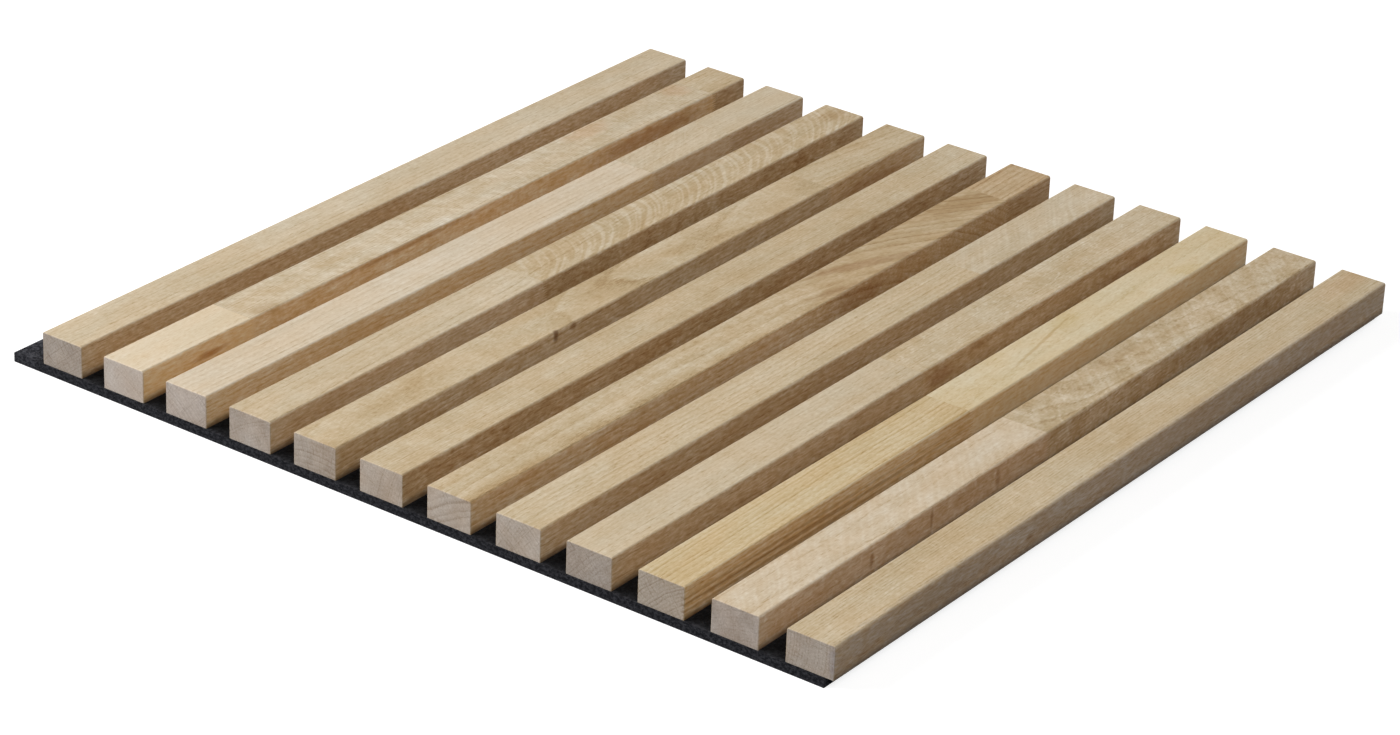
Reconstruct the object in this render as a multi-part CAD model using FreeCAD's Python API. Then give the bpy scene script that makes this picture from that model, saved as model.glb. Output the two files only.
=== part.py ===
"""Slatted wall panel: a row of oak slats stapled and glued to a sheet of black felt.

Each slat is a planed bar with two eased face arrises and square-cut ends. Most slats are made up
of two or three shorter lengths of oak, finger-jointed end to end. The joint's fingers show on the
slat's sides and its shoulder is a straight line across the face. The felt stands out past the first
slat and is set in under the last one, so that the next panel's felt butts against this one and the
gap between the slats stays the same across the join. The staples are driven from the back.

Units are millimetres. The panel lies on its back: +Z points out of the face, the slats run along Y
and the first slat is at -X. The origin is the middle of the back, under the whole panel's box.
"""
import FreeCAD, Part
import math
import os

# Slats
slat_count = 12
slat_pitch = 50.0
slat_width = 32.0
slat_height = 21.0
arris_radius = 1.5
end_ease = 0.4

# Felt backing
backing_length = 600.0
backing_thickness = 6.0
end_setback = 1.0
side_overhang = 5.5

# Finger joints
finger_length = 4.0
finger_pitch = 1.6
finger_tip = 0.3
least_shoulder = 0.5

# Places of the end joints, as shares of the slat's length from its near end
joint_shares = {
    2: (0.162, 0.942),
    3: (0.720, 0.862),
    4: (0.425,),
    5: (0.817,),
    7: (0.915,),
    8: (0.740,),
    9: (0.507,),
    10: (0.468,),
    11: (0.478,),
}

# Staples
staples_per_slat = 4
staple_crown = 11.0
staple_leg = 14.0
wire_width = 1.25
wire_thickness = 1.0
leg_point = 1.0
crown_sink = 0.3
staple_end_distance = 40.0

# Sizes that follow
gap_width = slat_pitch - slat_width
slat_length = backing_length - 2 * end_setback
backing_width = slat_count * slat_pitch
panel_width = backing_width + side_overhang
backing_left = -panel_width / 2
backing_near = -backing_length / 2
first_slat_left = backing_left + gap_width + side_overhang
slat_near = backing_near + end_setback
slat_far = slat_near + slat_length
slat_base = backing_thickness
slat_face = slat_base + slat_height


def slat_left(number):
    """Left side of a slat, counted from 1 at the felt's standing-out edge."""
    return first_slat_left + (number - 1) * slat_pitch


def extruded(points, direction):
    """Solid swept along a direction from the closed outline through the points."""
    outline = Part.makePolygon([FreeCAD.Vector(*point) for point in points + points[:1]])
    return Part.Face(outline).extrude(FreeCAD.Vector(*direction))


def slat_profile(left, y):
    """Section of a slat across its length: square at the felt, rounded at the face."""
    right = left + slat_width
    shoulder = slat_face - arris_radius
    turn = arris_radius * (1 - math.sqrt(0.5))

    def at(x, z):
        return FreeCAD.Vector(x, y, z)

    left_round = Part.Arc(
        at(left, shoulder), at(left + turn, slat_face - turn), at(left + arris_radius, slat_face)
    )
    right_round = Part.Arc(
        at(right - arris_radius, slat_face), at(right - turn, slat_face - turn), at(right, shoulder)
    )
    edges = [
        Part.LineSegment(at(left, slat_base), at(left, shoulder)).toShape(),
        left_round.toShape(),
        Part.LineSegment(at(left + arris_radius, slat_face), at(right - arris_radius, slat_face)).toShape(),
        right_round.toShape(),
        Part.LineSegment(at(right, shoulder), at(right, slat_base)).toShape(),
        Part.LineSegment(at(right, slat_base), at(left, slat_base)).toShape(),
    ]
    return Part.Face(Part.Wire(edges))


def slat_bar(left):
    """A whole slat before it is jointed, with the edges of its two end cuts eased."""
    bar = slat_profile(left, slat_near).extrude(FreeCAD.Vector(0, slat_length, 0))
    end_edges = []
    for edge in bar.Edges:
        box = edge.BoundBox
        across_the_end = box.YLength < end_ease / 2
        above_the_felt = box.ZMax > slat_base + end_ease / 2
        if across_the_end and above_the_felt:
            end_edges.append(edge)
    return bar.makeChamfer(end_ease, end_edges)


def near_side_of_joint(left, joint_y):
    """Everything on the near side of a finger joint: a block with a comb for its far side."""
    count = int((slat_height - 2 * least_shoulder) // finger_pitch)
    shoulder = (slat_height - count * finger_pitch) / 2
    root_y = joint_y - finger_length / 2
    tip_y = joint_y + finger_length / 2
    comb = []
    for finger in range(count):
        start = slat_base + shoulder + finger * finger_pitch
        middle = start + finger_pitch / 2
        end = start + finger_pitch
        comb.append((left, root_y, start + finger_tip / 2))
        comb.append((left, tip_y, middle - finger_tip / 2))
        comb.append((left, tip_y, middle + finger_tip / 2))
        comb.append((left, root_y, end - finger_tip / 2))
    below = (left, root_y, slat_base)
    above = (left, root_y, slat_face)
    back_above = (left, slat_near, slat_face)
    back_below = (left, slat_near, slat_base)
    return extruded([below] + comb + [above, back_above, back_below], (slat_width, 0, 0))


def split_at_joints(bar, number):
    """The lengths that make up one slat, from its near end to its far end."""
    pieces = []
    rest = bar
    for share in joint_shares.get(number, ()):
        near_side = near_side_of_joint(slat_left(number), slat_near + share * slat_length)
        pieces.append(rest.common(near_side).Solids[0])
        rest = rest.cut(near_side)
    pieces.append(rest.Solids[0])
    return pieces


def staple(middle_x, middle_y):
    """A staple with its crown across the slat, its legs up in the oak and their ends cut to points."""
    left = middle_x - staple_crown / 2
    right = middle_x + staple_crown / 2
    y = middle_y - wire_width / 2
    inside = crown_sink + wire_thickness
    top = crown_sink + staple_leg
    outline = [
        (left, y, crown_sink),
        (right, y, crown_sink),
        (right, y, top),
        (right - wire_thickness, y, top - leg_point),
        (right - wire_thickness, y, inside),
        (left + wire_thickness, y, inside),
        (left + wire_thickness, y, top - leg_point),
        (left, y, top),
    ]
    return extruded(outline, (0, wire_width, 0))


def crown_dent(middle_x, middle_y):
    """The dent under a staple's crown, where the crown is pressed in past the felt's back."""
    corner = FreeCAD.Vector(middle_x - staple_crown / 2, middle_y - wire_width / 2, 0)
    return Part.makeBox(staple_crown, wire_width, crown_sink, corner)


def staple_rows():
    """Distances of the staples along a slat, evenly spread between its ends."""
    first = slat_near + staple_end_distance
    last = slat_far - staple_end_distance
    step = (last - first) / (staples_per_slat - 1)
    return [first + row * step for row in range(staples_per_slat)]


def felt_sheet():
    """The felt before it is stapled."""
    corner = FreeCAD.Vector(backing_left, backing_near, 0)
    return Part.makeBox(backing_width, backing_length, backing_thickness, corner)


os.makedirs("parts", exist_ok=True)

place_names = {1: [""], 2: ["_near", "_far"], 3: ["_near", "_middle", "_far"]}
all_staples = []
all_dents = []
for number in range(1, slat_count + 1):
    middle_x = slat_left(number) + slat_width / 2
    slat_staples = [staple(middle_x, y) for y in staple_rows()]
    all_staples += slat_staples
    all_dents += [crown_dent(middle_x, y) for y in staple_rows()]
    bar = slat_bar(slat_left(number)).cut(Part.makeCompound(slat_staples))
    pieces = split_at_joints(bar, number)
    for piece, place in zip(pieces, place_names[len(pieces)]):
        piece.exportStep("parts/slat_{:02d}{}.step".format(number, place))

backing = felt_sheet().cut(all_staples + all_dents)
backing.Solids[0].exportStep("parts/felt_backing.step")
Part.makeCompound(all_staples).exportStep("parts/staples.step")
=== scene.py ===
import math
import bpy
from mathutils import Matrix, Vector


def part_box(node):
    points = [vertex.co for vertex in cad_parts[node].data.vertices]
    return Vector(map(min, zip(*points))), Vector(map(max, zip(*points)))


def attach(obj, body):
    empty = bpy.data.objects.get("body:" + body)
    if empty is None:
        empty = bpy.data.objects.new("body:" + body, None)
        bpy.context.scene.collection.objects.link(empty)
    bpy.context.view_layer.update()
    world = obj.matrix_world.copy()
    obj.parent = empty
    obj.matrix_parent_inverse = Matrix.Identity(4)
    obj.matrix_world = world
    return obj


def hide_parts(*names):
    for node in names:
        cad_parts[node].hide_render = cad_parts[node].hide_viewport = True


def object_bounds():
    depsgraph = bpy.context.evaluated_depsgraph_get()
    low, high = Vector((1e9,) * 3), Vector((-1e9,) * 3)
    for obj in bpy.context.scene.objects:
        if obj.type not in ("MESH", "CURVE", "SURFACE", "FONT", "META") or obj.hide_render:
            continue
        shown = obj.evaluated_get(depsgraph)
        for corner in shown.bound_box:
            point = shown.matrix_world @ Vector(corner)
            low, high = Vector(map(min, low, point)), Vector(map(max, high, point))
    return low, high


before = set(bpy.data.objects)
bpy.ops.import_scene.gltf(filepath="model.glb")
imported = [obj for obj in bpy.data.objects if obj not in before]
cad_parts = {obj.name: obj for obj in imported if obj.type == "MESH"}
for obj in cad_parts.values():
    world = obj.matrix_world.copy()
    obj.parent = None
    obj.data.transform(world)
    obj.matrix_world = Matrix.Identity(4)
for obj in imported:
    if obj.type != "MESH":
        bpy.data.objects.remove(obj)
cad_low, cad_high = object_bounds()

# Millimetres in a metre: the patterns and the staples are drawn in millimetres
MM = 1000.0

# Camera: where it stands, what it looks at and how far it is rolled, in metres and degrees.
# The lens is for the image's long side, 1400 pixels of 1400 by 735.
CAMERA_PLACE = (1.4386, -2.0023, 1.2004)
CAMERA_AIM = (0.0481, -0.0792, 0.0270)
CAMERA_ROLL = 2.23
CAMERA_LENS = 114.3
CAMERA_SENSOR = 36.0
CAMERA_REACH = 50.0

# Light: a large soft lamp from the near left, weaker ones from high on the right and low behind,
# and an even surround
LAMPS = {
    "key": dict(place=(-2.05, -1.80, 1.95), size=1.6, power=94.5),
    "fill": dict(place=(1.7, -1.3, 2.2), size=1.4, power=28.7),
    "back": dict(place=(0.4, 3.0, 0.75), size=1.2, power=19.0),
}
SURROUND = (0.11, 0.11, 0.11)
FLOOR_SIZE = 14.0
FLOOR_GAP = 0.0002
FLOOR_BOUNCE = (0.20, 0.20, 0.205)
FLOOR_SHOWN = (0.45, 0.45, 0.45)
FLOOR_LIFT = 0.80

# Staples: crown, legs and flattened wire, in millimetres
STAPLE_ROWS = 4
STAPLE_CROWN = 11.0
STAPLE_LEG = 14.0
LEG_POINT = 1.0
WIRE_WIDTH = 1.25
WIRE_THICKNESS = 1.0
WIRE_CORNER = 0.3
BEND_RADIUS = 0.9
BEND_STEPS = 4
CORNER_STEPS = 2
STEEL_DULL = (0.46, 0.47, 0.49, 1.0)
STEEL_BRIGHT = (0.62, 0.62, 0.63, 1.0)

# Felt: colours from the deepest tangle to the palest strands, how much of the strands shows, the
# colour's level between the slats, which is painted shade, and the painted light added to that
# where the felt lies open
FELT_DEEP = (0.004, 0.004, 0.006, 1.0)
FELT_FIBRE = (0.026, 0.027, 0.033, 1.0)
FELT_CLUMP = (0.058, 0.059, 0.068, 1.0)
FELT_STRAND = (0.135, 0.138, 0.155, 1.0)
STRAND_SHARE = 0.6
FELT_PAINTED_SHADE = 0.23
FELT_PAINTED_LIGHT = 0.72

# Where the felt is free of painted shade, in millimetres: across its ends, below these heights at
# its edges and back, and over this distance past slat 1, where it gets the most painted light
LIT_AT_ENDS = (-4.0, 1.5)
LIT_BELOW = (5.0, 5.9)
LIT_PAST = 8.0
LIT_MOST = 1.5


class Graph:
    """Short calls for building a node tree. Values may be numbers, tuples or output sockets."""

    def __init__(self, tree):
        self.tree = tree

    def node(self, kind, inputs=(), **settings):
        made = self.tree.nodes.new(kind)
        for name, value in settings.items():
            setattr(made, name, value)
        for key, value in dict(inputs).items():
            self.put(made.inputs[key], value)
        return made

    def put(self, socket, value):
        if isinstance(value, bpy.types.NodeSocket):
            self.tree.links.new(value, socket)
        else:
            socket.default_value = value

    def math(self, operation, *values):
        made = self.node("ShaderNodeMath", operation=operation)
        for index, value in enumerate(values):
            self.put(made.inputs[index], value)
        return made.outputs[0]

    def vector(self, operation, *values):
        made = self.node("ShaderNodeVectorMath", operation=operation)
        for index, value in enumerate(values):
            self.put(made.inputs[index], value)
        return made.outputs["Value" if operation in ("DOT_PRODUCT", "LENGTH") else "Vector"]

    def split(self, vector):
        made = self.node("ShaderNodeSeparateXYZ", {"Vector": vector})
        return made.outputs["X"], made.outputs["Y"], made.outputs["Z"]

    def join(self, x, y, z):
        return self.node("ShaderNodeCombineXYZ", {"X": x, "Y": y, "Z": z}).outputs[0]

    def noise(self, vector, detail=2.0, roughness=0.5, distortion=0.0):
        """Noise from 0 to 1 with features about one unit of the vector in size."""
        inputs = {
            "Vector": vector,
            "Scale": 1.0,
            "Detail": detail,
            "Roughness": roughness,
            "Distortion": distortion,
        }
        return self.node("ShaderNodeTexNoise", inputs, noise_dimensions="3D").outputs[0]

    def random(self, value):
        made = self.node("ShaderNodeTexWhiteNoise", {"W": value}, noise_dimensions="1D")
        return made.outputs["Value"]

    def ramp(self, value, low, high, start=0.0, end=1.0):
        """Smooth change from start to end as value goes from low to high."""
        inputs = {"Value": value, "From Min": low, "From Max": high, "To Min": start, "To Max": end}
        made = self.node("ShaderNodeMapRange", inputs, interpolation_type="SMOOTHSTEP", clamp=True)
        return made.outputs["Result"]

    def mix(self, factor, first, second, blend="MIX"):
        made = self.node("ShaderNodeMix", data_type="RGBA", blend_type=blend, clamp_factor=True)
        self.put(made.inputs[0], factor)
        self.put(made.inputs[6], first)
        self.put(made.inputs[7], second)
        return made.outputs[2]

    def scale(self, vector, factor):
        made = self.node("ShaderNodeVectorMath", {"Vector": vector}, operation="SCALE")
        self.put(made.inputs["Scale"], factor)
        return made.outputs[0]

    def place(self):
        """Place on the piece in millimetres."""
        metres = self.node("ShaderNodeTexCoord").outputs["Object"]
        return self.vector("MULTIPLY", metres, (MM, MM, MM))


def fresh_graph(owner):
    """The emptied node tree of a material or world."""
    owner.use_nodes = True
    owner.node_tree.nodes.clear()
    return Graph(owner.node_tree)


def streaks(g, place, across, along, detail=2.0, seed=0.0):
    """Noise from -1 to 1 in streaks of about the given width and length in millimetres."""
    scaled = g.vector("MULTIPLY", place, (1 / across, 1 / along, 1 / across))
    moved = g.vector("ADD", scaled, (seed, seed * 1.7, seed * 2.3))
    return g.math("MULTIPLY_ADD", g.noise(moved, detail), 2.0, -1.0)


def tree_place(g, place, given):
    """Place in the tree's own frame: Y runs along its centre line, which bends in the far half."""
    own = g.node(
        "ShaderNodeMapping",
        {"Vector": place, "Location": given["Centre"], "Rotation": given["Lean"]},
        vector_type="TEXTURE",
    ).outputs[0]
    _, own_y, _ = g.split(own)
    far = g.math("MAXIMUM", g.math("DIVIDE", own_y, 100.0), 0.0)
    return g.vector("ADD", own, g.scale(given["Bend"], g.math("MULTIPLY", far, far)))


def early_wood(g, own, seeded, given):
    """Growth rings: 1 where a ring starts with its wide pores, 0 in the dense wood that ends it."""
    own_x, _, own_z = g.split(own)
    radius = g.vector("LENGTH", g.join(own_x, 0.0, own_z))
    slow = g.math("MULTIPLY", streaks(g, seeded, 38.0, 150.0), given["Sway"])
    fine = g.math("MULTIPLY", streaks(g, seeded, 6.0, 50.0, seed=11.0), 0.55)
    turn = g.math("DIVIDE", g.math("ADD", radius, g.math("ADD", slow, fine)), given["Ring"])
    uneven = g.noise(g.join(g.math("MULTIPLY", turn, 0.43), given["Seed"], 3.0), 1.0)
    turn = g.math("MULTIPLY_ADD", uneven, 1.5, turn)
    year = g.math("FLOOR", turn)
    strength = g.ramp(g.random(g.math("ADD", year, given["Seed"])), 0.0, 1.0, 0.45, 1.0)
    fade = g.node("ShaderNodeValToRGB", {"Fac": g.math("FRACT", turn)})
    stops = fade.color_ramp.elements
    stops[0].color = (1.0, 1.0, 1.0, 1.0)
    stops[-1].color = (0.9, 0.9, 0.9, 1.0)
    for position, value in RING_FADE:
        stops.new(position).color = (value, value, value, 1.0)
    return radius, g.math("MULTIPLY", fade.outputs[0], strength)


def pores(g, seeded, early):
    """Vessels: thin dashes along the grain and dots across it, crowded where a ring starts."""
    marks = []
    for across, along, seed in PORE_LAYERS:
        at = g.vector("MULTIPLY", seeded, (across, along, across))
        at = g.vector("ADD", at, (seed, seed, seed))
        cells = g.node("ShaderNodeTexVoronoi", {"Vector": at, "Scale": 1.0, "Randomness": 1.0})
        reach = g.math("MULTIPLY_ADD", early, 0.36, 0.03)
        marks.append(g.ramp(g.math("SUBTRACT", reach, cells.outputs["Distance"]), -0.02, 0.09))
    return g.math("MAXIMUM", marks[0], marks[1])


def rays(g, own, seeded, radius, quarter, given):
    """Rays: pale wavy flecks on a face cut out from the centre, short dark lines elsewhere."""
    own_x, own_y, own_z = g.split(own)
    around = g.math("MULTIPLY", g.math("ARCTAN2", own_z, own_x), given["Radius"])
    around = g.math("MULTIPLY_ADD", streaks(g, seeded, 11.0, 24.0, seed=5.0), 1.3, around)
    at = g.vector("MULTIPLY", g.join(radius, own_y, around), (0.075, 0.16, 2.1))
    sheet = g.ramp(g.noise(g.vector("ADD", at, given["Shift"]), 1.0), 0.60, 0.70)
    flake = g.math("MULTIPLY", sheet, quarter)
    line = g.math("MULTIPLY", sheet, g.math("SUBTRACT", 1.0, quarter))
    return flake, line


def bands(g, place, given):
    """Pale bands that cross the face in bows, as wide rays do where the cut nearly follows them."""
    x, y, z = g.split(g.vector("SUBTRACT", place, given["Middle"]))
    bowed = g.math("MULTIPLY", g.math("MULTIPLY", x, x), given["Bow"])
    lean = g.math("MULTIPLY_ADD", x, given["Slant"], bowed)
    run = g.math("ADD", y, lean)
    run = g.math("MULTIPLY_ADD", streaks(g, place, 18.0, 26.0, seed=3.0), 4.0, run)
    at = g.vector("MULTIPLY", g.join(x, run, z), (0.025, 0.21, 0.08))
    noise = g.noise(g.vector("ADD", at, given["Shift"]), 1.0, 0.55)
    return g.ramp(noise, 0.36, 0.68, -0.5, 0.5)


# What is given for each length of oak as a plain number
CUT_NUMBERS = (
    "Ring", "Contrast", "Sway", "Fleck", "Band", "Slant", "Bow", "Figure", "Streak", "End",
)


def oak_group():
    """Solid oak as a node group: growth rings, pores, rays, mottle and end grain, in millimetres.

    Shade adds up as a density. The tone is raised to that power, so darker oak is also warmer.
    """
    tree = bpy.data.node_groups.new("oak", "ShaderNodeTree")
    vectors = ("Centre", "Middle", "Lean", "Bend")
    numbers = ("Radius", *CUT_NUMBERS, "Seed")
    for name in vectors:
        tree.interface.new_socket(name, in_out="INPUT", socket_type="NodeSocketVector")
    for name in numbers:
        tree.interface.new_socket(name, in_out="INPUT", socket_type="NodeSocketFloat")
    for name in ("Tone", "Side"):
        tree.interface.new_socket(name, in_out="INPUT", socket_type="NodeSocketColor")
    tree.interface.new_socket("Color", in_out="OUTPUT", socket_type="NodeSocketColor")
    tree.interface.new_socket("Roughness", in_out="OUTPUT", socket_type="NodeSocketFloat")
    tree.interface.new_socket("Height", in_out="OUTPUT", socket_type="NodeSocketFloat")
    g = Graph(tree)
    sockets = g.node("NodeGroupInput").outputs
    given = {name: sockets[name] for name in vectors + numbers + ("Tone", "Side")}
    seed = given["Seed"]
    given["Shift"] = g.vector("MULTIPLY", g.join(seed, seed, seed), SEED_SHIFT)

    place = g.place()
    own = tree_place(g, place, given)
    seeded = g.vector("ADD", own, given["Shift"])
    radius, early = early_wood(g, own, seeded, given)
    pore = pores(g, seeded, early)

    # Which way the face is cut: out from the centre, round it, or across the grain
    normal = g.node("ShaderNodeNewGeometry").outputs["True Normal"]
    own_x, _, own_z = g.split(own)
    tangent = g.vector("NORMALIZE", g.join(g.math("MULTIPLY", own_z, -1.0), 0.0, own_x))
    quarter = g.ramp(g.math("ABSOLUTE", g.vector("DOT_PRODUCT", normal, tangent)), 0.55, 0.95)
    facing_side, facing_end, facing_up = g.split(g.vector("ABSOLUTE", normal))
    side = g.ramp(facing_side, *FACING)
    end = g.ramp(facing_end, *FACING)
    flake, line = rays(g, own, seeded, radius, quarter, given)
    flake = g.math("MULTIPLY", flake, given["Fleck"])
    band = g.math("MULTIPLY", bands(g, place, given), given["Band"])
    band = g.math("MULTIPLY", band, g.ramp(facing_up, *FACING))

    # Density
    contrast = g.math("MULTIPLY_ADD", end, END_CONTRAST - 1.0, 1.0)
    contrast = g.math("MULTIPLY", given["Contrast"], contrast)
    density = g.math("MULTIPLY_ADD", g.math("SUBTRACT", early, 0.33), contrast, 1.0)
    patch = streaks(g, seeded, 13.0, 17.0, 3.0, seed=23.0)
    ripple = streaks(g, seeded, 4.5, 2.8, 2.0, seed=31.0)
    mottle = g.math("MULTIPLY_ADD", ripple, 0.45, g.math("MULTIPLY", patch, 0.85))
    fibre = streaks(g, seeded, 0.40, 6.0, 2.0, seed=53.0)
    grit = streaks(g, seeded, 1.1, 3.5, 3.0, seed=79.0)
    planed = g.math("MULTIPLY", streaks(g, seeded, 1.4, 7.0, 3.0, seed=83.0), side)
    for value, amount in (
        (mottle, given["Figure"]),
        (streaks(g, seeded, 1.7, 30.0, 2.0, seed=59.0), given["Streak"]),
        (streaks(g, seeded, 20.0, 130.0, 2.0, seed=41.0), 0.30),
        (fibre, 0.20),
        (grit, 0.30),
        (planed, 0.65),
        (pore, 0.50),
        (line, 0.30),
        (flake, -0.40),
        (band, -0.42),
    ):
        density = g.math("MULTIPLY_ADD", value, amount, density)
    speckle = streaks(g, place, 1.1, 1.1, 3.0, seed=71.0)
    speckle = g.math("MULTIPLY", speckle, end)
    density = g.math("MULTIPLY_ADD", speckle, END_SPECKLE, density)

    # Colour
    cut = g.mix(1.0, given["Tone"], (*END_TINT, 1.0), "MULTIPLY")
    sawn = g.scale(g.mix(END_SHARE, cut, (*END_TONE, 1.0)), given["End"])
    tone = g.mix(end, given["Tone"], sawn)
    # Partly painted light: the sides take their side tint, their own tone together with the darker,
    # warmer look the light gives them
    tone = g.mix(side, tone, g.mix(1.0, tone, given["Side"], "MULTIPLY"))
    colour = g.node("ShaderNodeGamma", {"Color": tone, "Gamma": density}).outputs[0]
    warm = g.ramp(streaks(g, seeded, 16.0, 50.0, seed=67.0), -0.5, 0.5)
    share = g.math("MULTIPLY", warm, 0.6)
    colour = g.mix(share, colour, g.mix(1.0, colour, WARM_TINT, "MULTIPLY"))
    pale = g.math("MULTIPLY", flake, 0.16)
    pale = g.math("MULTIPLY_ADD", g.math("MAXIMUM", band, 0.0), 0.30, pale)
    colour = g.mix(pale, colour, RAY_COLOUR)
    # Painted shade: the sides darken near the felt, at the foot of the gaps between slats
    _, _, level = g.split(place)
    level = g.math("MULTIPLY_ADD", streaks(g, place, 2.0, 6.0, seed=89.0), 1.2, level)
    foot_shaded = g.math("MULTIPLY", g.ramp(level, FOOT, FOOT + FOOT_SHADE_REACH, FOOT_SHADE_SHARE, 0.0), side)
    colour = g.mix(foot_shaded, colour, g.mix(1.0, colour, FOOT_SHADE_TINT, "MULTIPLY"))

    # Gloss and relief
    rough = g.math("MULTIPLY_ADD", pore, 0.18, 0.58)
    rough = g.math("MULTIPLY_ADD", flake, -0.10, rough)
    rough = g.math("MULTIPLY_ADD", end, 0.15, rough)
    height = g.math("MULTIPLY", pore, -0.060)
    for value, amount in ((early, -0.018), (fibre, 0.012), (speckle, 0.05)):
        height = g.math("MULTIPLY_ADD", value, amount, height)
    g.node("NodeGroupOutput", {"Color": colour, "Roughness": rough, "Height": height})
    return tree


# Tones of oak, as linear colours
TONES = {
    "cream": (0.745, 0.622, 0.445),
    "butter": (0.715, 0.595, 0.385),
    "white": (0.690, 0.580, 0.430),
    "rose": (0.680, 0.562, 0.405),
    "straw": (0.632, 0.522, 0.362),
    "sand": (0.605, 0.485, 0.315),
    "grey": (0.590, 0.473, 0.310),
    "tan": (0.580, 0.458, 0.290),
    "honey": (0.635, 0.495, 0.288),
    "brown": (0.540, 0.393, 0.228),
}

# The sides differ from the face by these factors: partly the wood's own tone, partly painted light,
# the darker and warmer look that the light gives the sides
SIDE_TONE_AND_LIGHT = {
    "umber": (0.83, 0.725, 0.61),
    "dark": (0.86, 0.755, 0.66),
    "plain": (0.93, 0.82, 0.73),
    "fair": (0.98, 0.91, 0.85),
    "light": (1.08, 0.98, 0.895),
    "amber": (1.05, 0.91, 0.71),
    "gold": (1.15, 1.01, 0.85),
}

# The sawn ends: greyer, with fainter rings and a speckle
END_TONE = (0.50, 0.425, 0.365)
END_TINT = (0.80, 0.85, 1.05)
END_SHARE = 0.65
END_CONTRAST = 0.7
END_SPECKLE = 0.24

# A year's ring: how early its wood is still, after shares of its width. Two layers of pores: how
# many to a millimetre across and along the grain, and a shift between the layers
RING_FADE = ((0.10, 0.95), (0.34, 0.42), (0.62, 0.08), (0.90, 0.0))
PORE_LAYERS = ((1.9, 0.10, 0.0), (2.7, 0.16, 7.0))

# How far one length's pattern lies from the next one's, and how squarely a face has to point along
# an axis to count as a side, an end or the top
SEED_SHIFT = (131.0, 917.0, 353.0)
FACING = (0.60, 0.95)

# Warmer stretches of the wood and the pale colour of its rays
WARM_TINT = (1.04, 0.97, 0.90, 1.0)
RAY_COLOUR = (0.78, 0.72, 0.62, 1.0)

# Painted shade at the foot of the sides, in millimetres: from where, how far up, how dense, its
# tint
FOOT = 5.5
FOOT_SHADE_REACH = 6.0
FOOT_SHADE_SHARE = 0.95
FOOT_SHADE_TINT = (0.22, 0.20, 0.19, 1.0)


def length(tone, pith, **cut):
    """How one length of oak was cut from its tree, with the usual values where none is given.

    pith: where the tree's centre line passes the length's middle, across and up from it
    lean: degrees by which that line rises and turns
    bend: how far it has bowed off 100 mm past the middle, in the far half only
    ring: width of a year's growth; contrast: how much darker it starts; sway: how far it wavers
    fleck: small pale ray flecks; band: wide ones, with their slant and bow across the face
    figure: mottle; streak: fine streaks along the grain; side: the tint of its sides, partly their
    own tone and partly painted light
    end: how light its sawn ends are
    """
    usual = dict(
        lean=(0.0, 0.0), bend=(0.0, 0.0), ring=2.2, contrast=0.25, sway=2.0, fleck=0.2,
        band=0.0, slant=0.0, bow=0.0, figure=0.18, streak=0.14, side="plain", end=1.0,
    )
    return {**usual, "tone": tone, "pith": pith, **cut}


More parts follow.
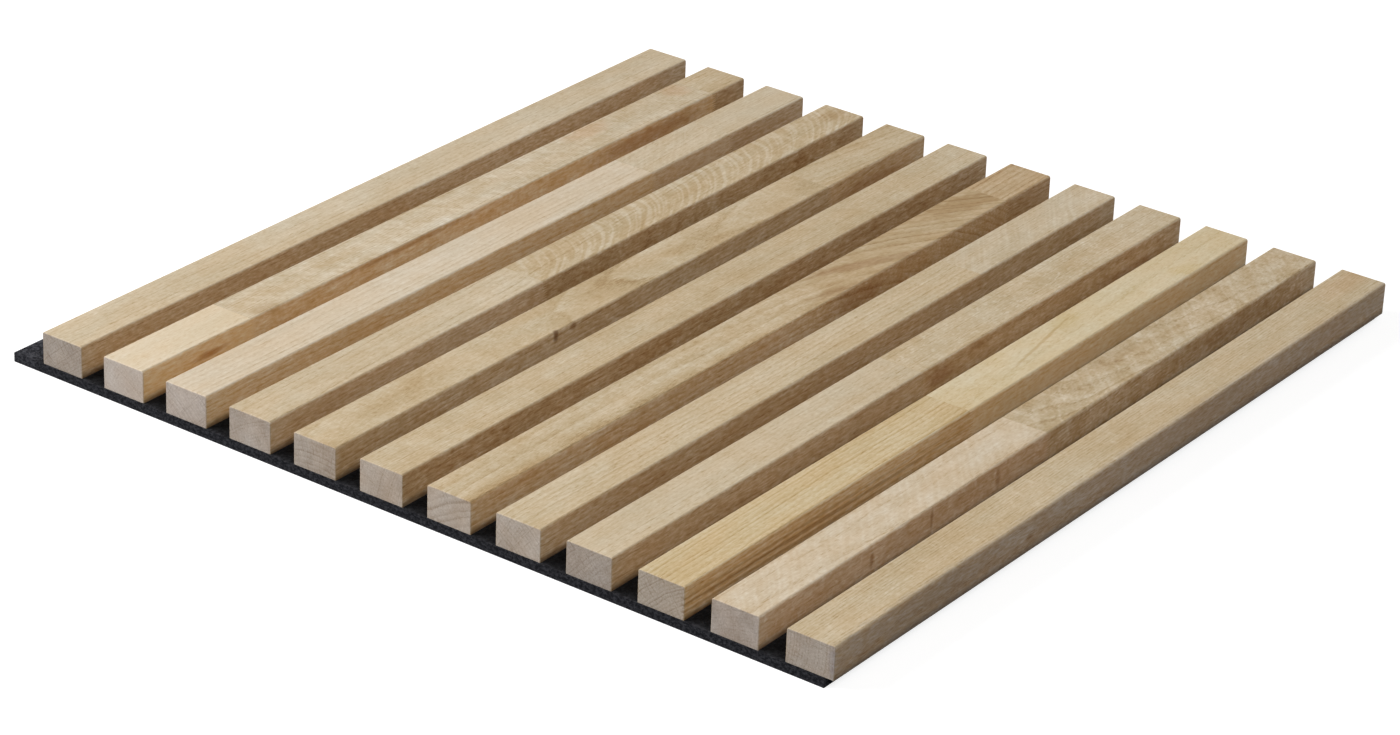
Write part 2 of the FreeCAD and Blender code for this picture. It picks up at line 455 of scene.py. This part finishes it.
LENGTHS = {
    "slat_01": length(
        "straw", (70, -85), ring=1.9, contrast=0.15, figure=0.25, streak=0.08,
        side="dark", end=0.83,
    ),
    "slat_02_near": length(
        "cream", (-45, -75), ring=2.6, contrast=0.10, figure=0.08, streak=0.06,
        side="amber", end=1.10,
    ),
    "slat_02_middle": length(
        "straw", (-110, 15), ring=2.1, fleck=0.3, band=0.25, slant=-0.8,
        figure=0.50, sway=4.0, side="gold",
    ),
    "slat_02_far": length("tan", (70, -50), contrast=0.15, side="dark"),
    "slat_03_near": length(
        "white", (-65, -70), ring=2.9, contrast=0.25, lean=(0.3, 0.6), sway=3.0,
        side="amber", end=1.04,
    ),
    "slat_03_middle": length(
        "straw", (-60, -60), contrast=0.15, lean=(0.0, 4.0), band=0.2, slant=1.4, side="light"
    ),
    "slat_03_far": length("straw", (80, -30), contrast=0.15),
    "slat_04_near": length("straw", (50, -90), contrast=0.15, lean=(1.0, 0.0), figure=0.25),
    "slat_04_far": length(
        "tan", (-110, 10), ring=3.0, contrast=0.12, lean=(0.0, 4.0),
        figure=0.40, band=0.58, slant=1.0, bow=0.032, side="dark",
    ),
    "slat_05_near": length(
        "tan", (2, -75), ring=3.2, contrast=0.28, lean=(1.9, 0.2), figure=0.35,
        sway=3.0, side="fair", end=0.97,
    ),
    "slat_05_far": length(
        "tan", (-30, -45), ring=3.0, contrast=0.22, lean=(3.0, -2.0), side="light"
    ),
    "slat_06": length(
        "tan", (85, -25), ring=1.8, contrast=0.15, figure=0.30, streak=0.18, side="dark", end=1.13
    ),
    "slat_07_near": length(
        "tan", (40, -95), ring=4.6, contrast=0.34, lean=(0.1, 0.3), bend=(-11.0, 2.5),
        sway=4.5, figure=0.35, side="light", end=1.13,
    ),
    "slat_07_far": length(
        "brown", (-60, -60), ring=3.0, contrast=0.30, lean=(0.0, 1.0), side="fair"
    ),
    "slat_08_near": length(
        "sand", (-50, -60), ring=2.6, contrast=0.22, lean=(0.4, 0.3), streak=0.2, end=1.09
    ),
    "slat_08_far": length(
        "straw", (95, 10), contrast=0.15, lean=(2.0, 0.0), band=0.3, slant=1.4,
        figure=0.3, side="umber",
    ),
    "slat_09_near": length("straw", (60, -60), contrast=0.12, figure=0.2, side="dark", end=0.88),
    "slat_09_far": length("sand", (90, -10), contrast=0.18, fleck=0.4, figure=0.4),
    "slat_10_near": length(
        "honey", (52, -62), ring=2.1, contrast=0.35, lean=(0.2, 0.3), sway=2.5,
        side="light", end=0.95,
    ),
    "slat_10_far": length(
        "butter", (40, -80), ring=4.0, contrast=0.12, lean=(1.0, 0.0), figure=0.25,
        streak=0.10, side="light",
    ),
    "slat_11_near": length(
        "rose", (25, -95), contrast=0.10, fleck=0.5, figure=0.35, band=0.25, slant=1.2, end=0.96
    ),
    "slat_11_far": length(
        "grey", (-20, -95), contrast=0.18, lean=(3.0, 1.0), fleck=0.6,
        figure=0.7, sway=4.0, band=0.3, slant=1.0, side="fair",
    ),
    "slat_12": length(
        "sand", (-110, 10), ring=2.0, contrast=0.16, figure=0.25, streak=0.2, end=0.98
    ),
}

# Marks in the oak, and painted shade on slat 12's right side: the length, the middle and half sizes
# in millimetres, the turn in degrees, the tint and its strength
MARKS = (
    ("slat_02_near", (-197, -241, 17.5), (4, 17, 3), 0, (0.62, 0.42, 0.26), 0.8),
    ("slat_02_middle", (-201, -188, 27), (7, 15, 5), 0, (0.75, 0.66, 0.55), 0.6),
    ("slat_02_middle", (-197.5, -60, 25), (1.5, 105, 2.5), 0, (0.72, 0.58, 0.45), 0.8),
    ("slat_02_middle", (-197.5, 188, 19), (3, 75, 9), 0, (0.66, 0.52, 0.42), 0.8),
    ("slat_02_middle", (-222, 155, 27), (11, 28, 6), 0, (1.00, 0.86, 0.77), 0.7),
    ("slat_02_middle", (-220, 250, 27), (12, 14, 6), 0, (0.98, 0.84, 0.76), 0.7),
    ("slat_02_middle", (-213, 235, 24), (30, 75, 22), 0, (0.93, 0.91, 0.87), 0.8),
    ("slat_04_far", (-113, 288, 27), (12, 18, 6), 0, (0.85, 0.75, 0.63), 0.6),
    ("slat_05_near", (-47, -97, 24), (3, 3, 6), 0, (0.32, 0.21, 0.13), 0.85),
    ("slat_05_near", (-47, -80, 25), (3, 4, 3.5), 0, (0.55, 0.42, 0.32), 0.8),
    ("slat_05_far", (-47, 235, 15), (3, 45, 6), 0, (0.75, 0.62, 0.52), 0.7),
    ("slat_06", (-13, 265, 27), (30, 75, 22), 0, (1.02, 1.04, 1.07), 0.8),
    ("slat_07_near", (40, 170, 22), (36, 190, 30), 0, (0.86, 0.79, 0.69), 0.9),
    ("slat_07_near", (36, 100, 27), (6, 60, 12), -22, (0.80, 0.72, 0.65), 1.0),
    ("slat_07_near", (48, 60, 27), (6, 26, 9), -12, (0.78, 0.70, 0.62), 0.8),
    ("slat_07_near", (34, 222, 26), (14, 50, 12), -14, (0.80, 0.72, 0.60), 0.9),
    ("slat_07_near", (53, 78, 18), (4, 40, 9), 0, (0.75, 0.64, 0.56), 0.7),
    ("slat_09_far", (152.5, 22, 18), (3, 18, 7), 0, (0.72, 0.58, 0.50), 0.7),
    ("slat_09_far", (152.5, 240, 12), (3, 50, 4), 0, (0.70, 0.58, 0.50), 0.7),
    ("slat_10_near", (202.5, -210, 19.5), (3, 200, 1.4), 0, (0.74, 0.66, 0.56), 0.9),
    ("slat_10_near", (202.5, -190, 15.5), (3, 210, 1.8), 0, (0.66, 0.57, 0.47), 1.0),
    ("slat_10_near", (202.5, -220, 11.2), (3, 190, 1.5), 0, (0.70, 0.61, 0.51), 1.0),
    ("slat_10_far", (185, 81, 27), (1.6, 55, 4), 9, (0.80, 0.70, 0.54), 0.8),
    ("slat_10_far", (179, 120, 27), (10, 22, 6), 9, (0.88, 0.81, 0.62), 0.6),
    ("slat_10_far", (196, 232, 27), (9, 18, 6), -20, (0.90, 0.83, 0.64), 0.6),
    ("slat_11_near", (252.5, -193, 17), (3, 2.5, 8), 0, (0.58, 0.44, 0.34), 0.7),
    ("slat_11_near", (252.5, -134, 19), (3, 2, 8), 0, (0.58, 0.44, 0.34), 0.7),
    ("slat_11_near", (252.5, -66, 17), (3, 3, 8), 0, (0.62, 0.48, 0.38), 0.7),
    ("slat_11_far", (252.5, 195, 18), (3, 75, 9), 0, (0.72, 0.64, 0.56), 0.7),
    ("slat_11_far", (228, 95, 27), (9, 30, 6), 0, (0.80, 0.74, 0.65), 0.7),
    # Painted shade: slat 12's open right side made darker and cooler, as the light falls on it
    ("slat_12", (303, 0, 16), (6, 600, 20), 0, (0.84, 0.86, 0.97), 1.0),
    ("slat_12", (303, -230, 16), (6, 120, 20), 0, (0.86, 0.89, 0.93), 0.8),
    ("slat_12", (283, 282, 27), (12, 42, 6), 0, (0.94, 0.86, 0.79), 0.7),
)


def new_material(name):
    """An empty material with a principled surface, and the graph to build it with."""
    material = bpy.data.materials.new(name)
    g = fresh_graph(material)
    surface = g.node("ShaderNodeBsdfPrincipled")
    g.node("ShaderNodeOutputMaterial", {"Surface": surface.outputs[0]})
    return material, g, surface


def add_bump(g, surface, height, strength, distance):
    """Fine relief on a surface, its greatest depth in metres."""
    inputs = {"Height": height, "Strength": strength, "Distance": distance}
    g.put(surface.inputs["Normal"], g.node("ShaderNodeBump", inputs).outputs[0])


def oak_material(group, node, look, seed):
    """Material of one length of oak, its tree placed from where the length lies."""
    material, g, surface = new_material("oak_" + node)
    low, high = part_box(node)
    middle = (low + high) / 2 * MM
    across, up = look["pith"]
    rise, turn = look["lean"]
    oak = g.node("ShaderNodeGroup", node_tree=group)
    values = {
        "Centre": (middle.x + across, middle.y, middle.z + up),
        "Middle": tuple(middle),
        "Lean": (math.radians(rise), 0.0, math.radians(turn)),
        "Bend": (look["bend"][0], 0.0, look["bend"][1]),
        "Radius": math.hypot(across, up),
        "Seed": seed,
        "Tone": (*TONES[look["tone"]], 1.0),
        "Side": (*SIDE_TONE_AND_LIGHT[look["side"]], 1.0),
    }
    for name in CUT_NUMBERS:
        values[name] = look[name.lower()]
    for name, value in values.items():
        g.put(oak.inputs[name], value)
    colour = oak.outputs["Color"]
    for marked, place, half, turn, tint, amount in MARKS:
        if marked == node:
            colour = add_mark(g, colour, place, half, turn, tint, amount)
    g.put(surface.inputs["Base Color"], colour)
    g.put(surface.inputs["Roughness"], oak.outputs["Roughness"])
    surface.inputs["Specular IOR Level"].default_value = 0.20
    add_bump(g, surface, oak.outputs["Height"], 0.9, 0.001)
    return material


def add_mark(g, colour, place, half, turn, tint, amount):
    """A tinted spot, turned about the upright, with a soft ragged edge: a mark in the oak, and on
    slat 12's side a patch of painted shade.
    """
    point = g.place()
    turned = (0.0, 0.0, math.radians(turn))
    inputs = {"Vector": point, "Location": place, "Rotation": turned, "Scale": half}
    away = g.node("ShaderNodeMapping", inputs, vector_type="TEXTURE").outputs[0]
    ragged = g.noise(g.vector("MULTIPLY", point, (0.30, 0.08, 0.30)), 3.0)
    reach = g.math("MULTIPLY_ADD", ragged, 0.9, g.vector("LENGTH", away))
    share = g.ramp(reach, 0.75, 1.55, amount, 0.0)
    return g.mix(share, colour, g.mix(1.0, colour, (*tint, 1.0), "MULTIPLY"))


def felt_material():
    """Black pressed felt: tangled fibres in clumps, some paler, darkened with painted shade between
    the slats and lightened with painted light where it lies open.
    """
    material, g, surface = new_material("black_felt")
    place = g.place()
    tangle = g.noise(g.vector("MULTIPLY", place, (2.2, 2.2, 3.5)), 4.0, 0.65, 1.0)
    clump = g.noise(g.vector("MULTIPLY", place, (0.42, 0.42, 0.55)), 4.0, 0.75, 0.3)
    strand = g.noise(g.vector("MULTIPLY", place, (0.45, 3.2, 3.6)), 2.0, 0.6, 1.2)
    other = g.noise(g.vector("MULTIPLY", place, (3.2, 0.45, 3.6)), 2.0, 0.6, 1.2)
    colour = g.mix(g.ramp(tangle, 0.30, 0.75), FELT_DEEP, FELT_FIBRE)
    colour = g.mix(g.ramp(clump, 0.42, 0.62), colour, FELT_CLUMP)
    pale = g.math("MAXIMUM", g.ramp(strand, 0.64, 0.74), g.ramp(other, 0.64, 0.74))
    colour = g.mix(g.math("MULTIPLY", pale, STRAND_SHARE), colour, FELT_STRAND)
    # Painted shade and light: the felt's colour is darkened between the slats and raised where it
    # lies open
    level = g.math("MULTIPLY_ADD", painted_light_share(g, place), FELT_PAINTED_LIGHT, FELT_PAINTED_SHADE)
    g.put(surface.inputs["Base Color"], g.scale(colour, level))
    surface.inputs["Roughness"].default_value = 0.95
    surface.inputs["Specular IOR Level"].default_value = 0.02
    surface.inputs["Sheen Weight"].default_value = 0.02
    surface.inputs["Sheen Roughness"].default_value = 0.6
    height = g.math("ADD", tangle, g.math("MULTIPLY", g.math("ADD", strand, other), 0.5))
    add_bump(g, surface, height, 0.8, 0.0004)
    return material


def painted_light_share(g, place):
    """Share of painted light on the felt: 0 between slats, in full painted shade, 1 on its edges
    and back, more past slat 1.
    """
    slat_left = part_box("slat_01")[0].x * MM
    felt_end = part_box("felt_backing")[1].y * MM
    x, y, z = g.split(place)
    from_end, to_end = LIT_AT_ENDS
    at_ends = g.ramp(g.math("ABSOLUTE", y), felt_end + from_end, felt_end + to_end)
    below = g.ramp(z, *LIT_BELOW, 1.0, 0.0)
    past_slats = g.ramp(g.math("SUBTRACT", slat_left, x), 0.0, LIT_PAST, 0.0, LIT_MOST)
    return g.math("MAXIMUM", g.math("MAXIMUM", at_ends, below), past_slats)


def staple_material():
    """Zinc-plated wire with faint draw marks."""
    material, g, surface = new_material("staple_steel")
    place = g.place()
    drawn = g.noise(g.vector("MULTIPLY", place, (0.3, 14.0, 14.0)), 3.0)
    blotch = g.noise(g.vector("MULTIPLY", place, (0.7, 0.7, 0.7)), 2.0)
    g.put(surface.inputs["Base Color"], g.mix(blotch, STEEL_DULL, STEEL_BRIGHT))
    g.put(surface.inputs["Roughness"], g.ramp(drawn, 0.3, 0.7, 0.28, 0.46))
    surface.inputs["Metallic"].default_value = 1.0
    add_bump(g, surface, drawn, 0.3, 0.0001)
    return material


def staple_line():
    """Middle line of a staple's wire from leg to leg, in millimetres: across, up, its direction."""
    half = (STAPLE_CROWN - WIRE_THICKNESS) / 2
    low = WIRE_THICKNESS / 2
    corner = half - BEND_RADIUS
    line = [(-half, STAPLE_LEG, -90.0), (-half, STAPLE_LEG * 0.5, -90.0)]
    for step in range(BEND_STEPS + 1):
        turn = 90.0 * step / BEND_STEPS
        out, down = math.cos(math.radians(turn)), math.sin(math.radians(turn))
        line.append((-corner - BEND_RADIUS * out, low + BEND_RADIUS * (1 - down), turn - 90.0))
    mirrored = [(-across, up, -way) for across, up, way in reversed(line)]
    return line + mirrored


def wire_section():
    """Outline of the flattened wire, its corners rounded: along the panel and through the wire."""
    straight_width = WIRE_WIDTH / 2 - WIRE_CORNER
    straight_thick = WIRE_THICKNESS / 2 - WIRE_CORNER
    outline = []
    for corner in range(4):
        diagonal = math.radians(90.0 * corner + 45.0)
        along = math.copysign(straight_width, math.cos(diagonal))
        through = math.copysign(straight_thick, math.sin(diagonal))
        for step in range(CORNER_STEPS + 1):
            angle = math.radians(90.0 * corner + 90.0 * step / CORNER_STEPS)
            rounded = (WIRE_CORNER * math.cos(angle), WIRE_CORNER * math.sin(angle))
            outline.append((along + rounded[0], through + rounded[1]))
    return outline


def add_staple(points, faces, middle_x, middle_y, base_z):
    """Adds one staple's wire, swept along its line, with its two ends cut to points."""
    first = len(points)
    line = staple_line()
    section = wire_section()
    for number, (across, up, way) in enumerate(line):
        slope = math.radians(way)
        at_end = number in (0, len(line) - 1)
        for along, through in section:
            x = across - through * math.sin(slope)
            z = up + through * math.cos(slope)
            if at_end:
                z = STAPLE_LEG - LEG_POINT * (STAPLE_CROWN / 2 - abs(x)) / WIRE_THICKNESS
            points.append((middle_x + x / MM, middle_y + along / MM, base_z + z / MM))
    count = len(section)
    for ring in range(len(line) - 1):
        for corner in range(count):
            after = (corner + 1) % count
            low, high = first + ring * count, first + (ring + 1) * count
            faces.append((low + corner, low + after, high + after, high + corner))
    faces.append(tuple(first + corner for corner in reversed(range(count))))
    faces.append(tuple(first + (len(line) - 1) * count + corner for corner in range(count)))


def make_staples():
    """Staples of bent wire in place of the plain ones, four rows under each slat."""
    low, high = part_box("staples")
    first_row = low.y + WIRE_WIDTH / 2 / MM
    last_row = high.y - WIRE_WIDTH / 2 / MM
    points, faces = [], []
    for node in LENGTHS:
        if node.endswith(("_middle", "_far")):
            continue  # the near length has given this slat's place
        slat_low, slat_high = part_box(node)
        for row in range(STAPLE_ROWS):
            middle_y = first_row + (last_row - first_row) * row / (STAPLE_ROWS - 1)
            add_staple(points, faces, (slat_low.x + slat_high.x) / 2, middle_y, low.z)
    mesh = bpy.data.meshes.new("staple_wires")
    mesh.from_pydata(points, [], faces)
    mesh.materials.append(staple_material())
    wires = bpy.data.objects.new("staple_wires", mesh)
    bpy.context.scene.collection.objects.link(wires)
    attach(wires, "root")
    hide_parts("staples")


def dress(node, material):
    """Gives a node of the frame its material."""
    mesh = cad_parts[node].data
    mesh.materials.clear()
    mesh.materials.append(material)


def seen_share(g):
    """1 for what the camera and reflections see, 0 for the light that falls on the panel."""
    path = g.node("ShaderNodeLightPath").outputs
    seen = g.math("MAXIMUM", path["Is Camera Ray"], path["Is Glossy Ray"])
    return g.math("MAXIMUM", seen, path["Is Transmission Ray"])


def floor_material():
    """Floor that is seen as white, with the panel's shadow on it, and reflects little light."""
    material = bpy.data.materials.new("floor")
    g = fresh_graph(material)
    lit = g.node("ShaderNodeBsdfDiffuse", {"Color": (*FLOOR_SHOWN, 1.0)})
    lift = g.node("ShaderNodeEmission", {"Color": (1.0, 1.0, 1.0, 1.0), "Strength": FLOOR_LIFT})
    shown = g.node("ShaderNodeAddShader", {0: lit.outputs[0], 1: lift.outputs[0]})
    bounce = g.node("ShaderNodeBsdfDiffuse", {"Color": (*FLOOR_BOUNCE, 1.0)})
    shaders = {0: seen_share(g), 1: bounce.outputs[0], 2: shown.outputs[0]}
    both = g.node("ShaderNodeMixShader", shaders)
    g.node("ShaderNodeOutputMaterial", {"Surface": both.outputs[0]})
    return material


def make_floor():
    """A plain pale floor just under the panel."""
    half = FLOOR_SIZE / 2
    mesh = bpy.data.meshes.new("floor")
    corners = [(-half, -half, 0.0), (half, -half, 0.0), (half, half, 0.0), (-half, half, 0.0)]
    mesh.from_pydata(corners, [], [(0, 1, 2, 3)])
    mesh.materials.append(floor_material())
    floor = bpy.data.objects.new("floor", mesh)
    floor.location.z = cad_low.z - FLOOR_GAP
    bpy.context.scene.collection.objects.link(floor)


def make_lamp(name, place, size, power):
    """A round soft white lamp that points at the middle of the panel."""
    lamp = bpy.data.lights.new(name, "AREA")
    lamp.shape = "DISK"
    lamp.size = size
    lamp.energy = power
    holder = bpy.data.objects.new(name, lamp)
    holder.location = place
    holder.rotation_euler = (-holder.location).to_track_quat("-Z", "Y").to_euler()
    bpy.context.scene.collection.objects.link(holder)


def make_surround():
    """Surroundings that are seen as white but light the panel weakly."""
    world = bpy.data.worlds.new("surround")
    bpy.context.scene.world = world
    g = fresh_graph(world)
    colour = g.mix(seen_share(g), (*SURROUND, 1.0), (1.0, 1.0, 1.0, 1.0))
    background = g.node("ShaderNodeBackground", {"Color": colour, "Strength": 1.0})
    g.node("ShaderNodeOutputWorld", {"Surface": background.outputs[0]})


def make_camera():
    """The camera at the photograph's place, with its slight roll."""
    data = bpy.data.cameras.new("camera")
    data.lens = CAMERA_LENS
    data.sensor_width = CAMERA_SENSOR
    data.clip_end = CAMERA_REACH
    camera = bpy.data.objects.new("camera", data)
    aim = Vector(CAMERA_AIM) - Vector(CAMERA_PLACE)
    turn = aim.to_track_quat("-Z", "Y").to_matrix().to_4x4()
    roll = Matrix.Rotation(math.radians(CAMERA_ROLL), 4, "Z")
    camera.matrix_world = Matrix.Translation(CAMERA_PLACE) @ turn @ roll
    bpy.context.scene.collection.objects.link(camera)
    bpy.context.scene.camera = camera


group = oak_group()
for seed, (node, look) in enumerate(LENGTHS.items()):
    dress(node, oak_material(group, node, look, seed + 1.0))
dress("felt_backing", felt_material())
make_staples()

make_floor()
for name, lamp in LAMPS.items():
    make_lamp(name, **lamp)
make_surround()
make_camera()
bpy.context.scene.view_settings.view_transform = "Standard"
